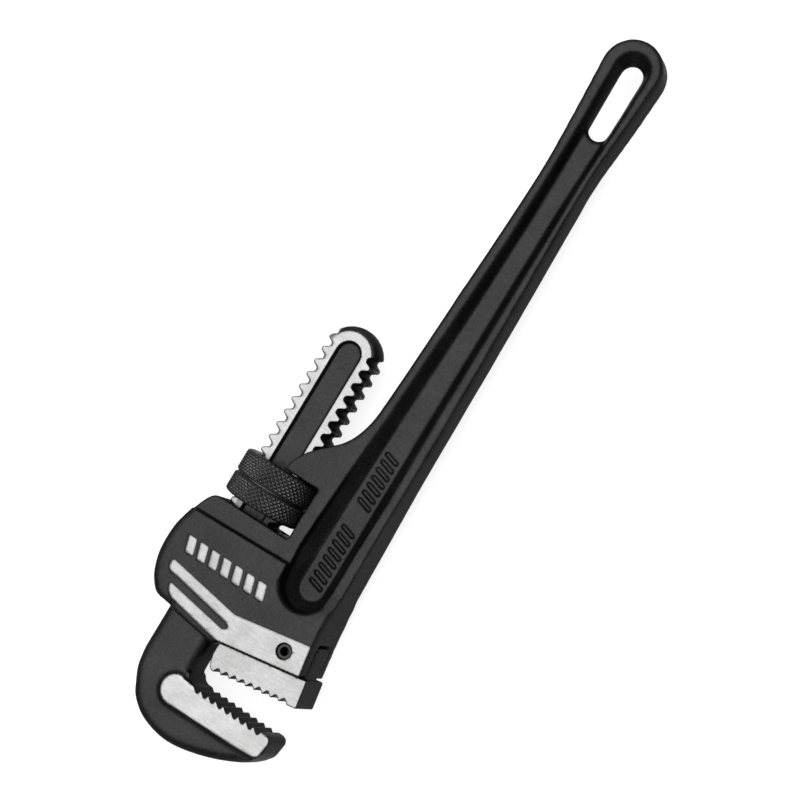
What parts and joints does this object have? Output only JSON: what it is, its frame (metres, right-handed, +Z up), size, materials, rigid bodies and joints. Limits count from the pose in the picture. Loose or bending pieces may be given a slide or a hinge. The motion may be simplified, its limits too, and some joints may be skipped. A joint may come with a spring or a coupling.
{
  "type": "pipe wrench",
  "caption": "Adjustable pipe wrench: black cast housing with an I-section handle, a toothed hook jaw on a threaded shank, a knurled adjusting nut and a pinned toothed heel jaw.",
  "frame": {"origin": "centre of the bounding box in X and Y, on the plane the wrench lies on (Z = 0)", "axes": "+X from the jaws towards the hanging end of the handle, +Y from the handle towards the adjusting nut's side of the head, +Z up through the thickness"},
  "size_m": [0.344, 0.0858, 0.035],
  "materials": {
    "housing_paint": "ductile iron casting in satin black paint, with the raised stripe and bars on each cheek ground bright",
    "hook_steel": "black forged steel, ground bright on the side pads, on the edges of the flats and on the thread crests",
    "heel_steel": "ground bright on both sides, black oxide on the teeth and edges",
    "dark_steel": "oiled black spring steel",
    "nut_steel": "black oxide over a diamond knurl",
    "spring_steel": "plain spring steel"
  },
  "bodies": {
    "handle": {"handle_housing": "housing_paint", "heel_jaw": "heel_steel", "heel_jaw_pin": "dark_steel", "flat_spring": "spring_steel", "spring_rivet": "spring_steel", "coil_spring": "spring_steel"},
    "hook": {"hook_jaw": "hook_steel"},
    "nut": {"adjusting_nut": "nut_steel"}
  },
  "joints": [
    {"name": "hook_slide", "type": "slide", "parent": "handle", "child": "hook", "axis": [-1, 0, 0], "range_m": [-0.0083, 0.0484]},
    {"name": "nut_spin", "type": "hinge", "parent": "handle", "child": "nut", "pos_m": [-0.06197, 0.01765, 0.0175], "axis": [1, 0, 0], "range_deg": [-500, 2885]}
  ],
  "couplings": [
    {"joint": "nut_spin", "follows": "hook_slide", "rad_per_m": 1038.5}
  ]
}
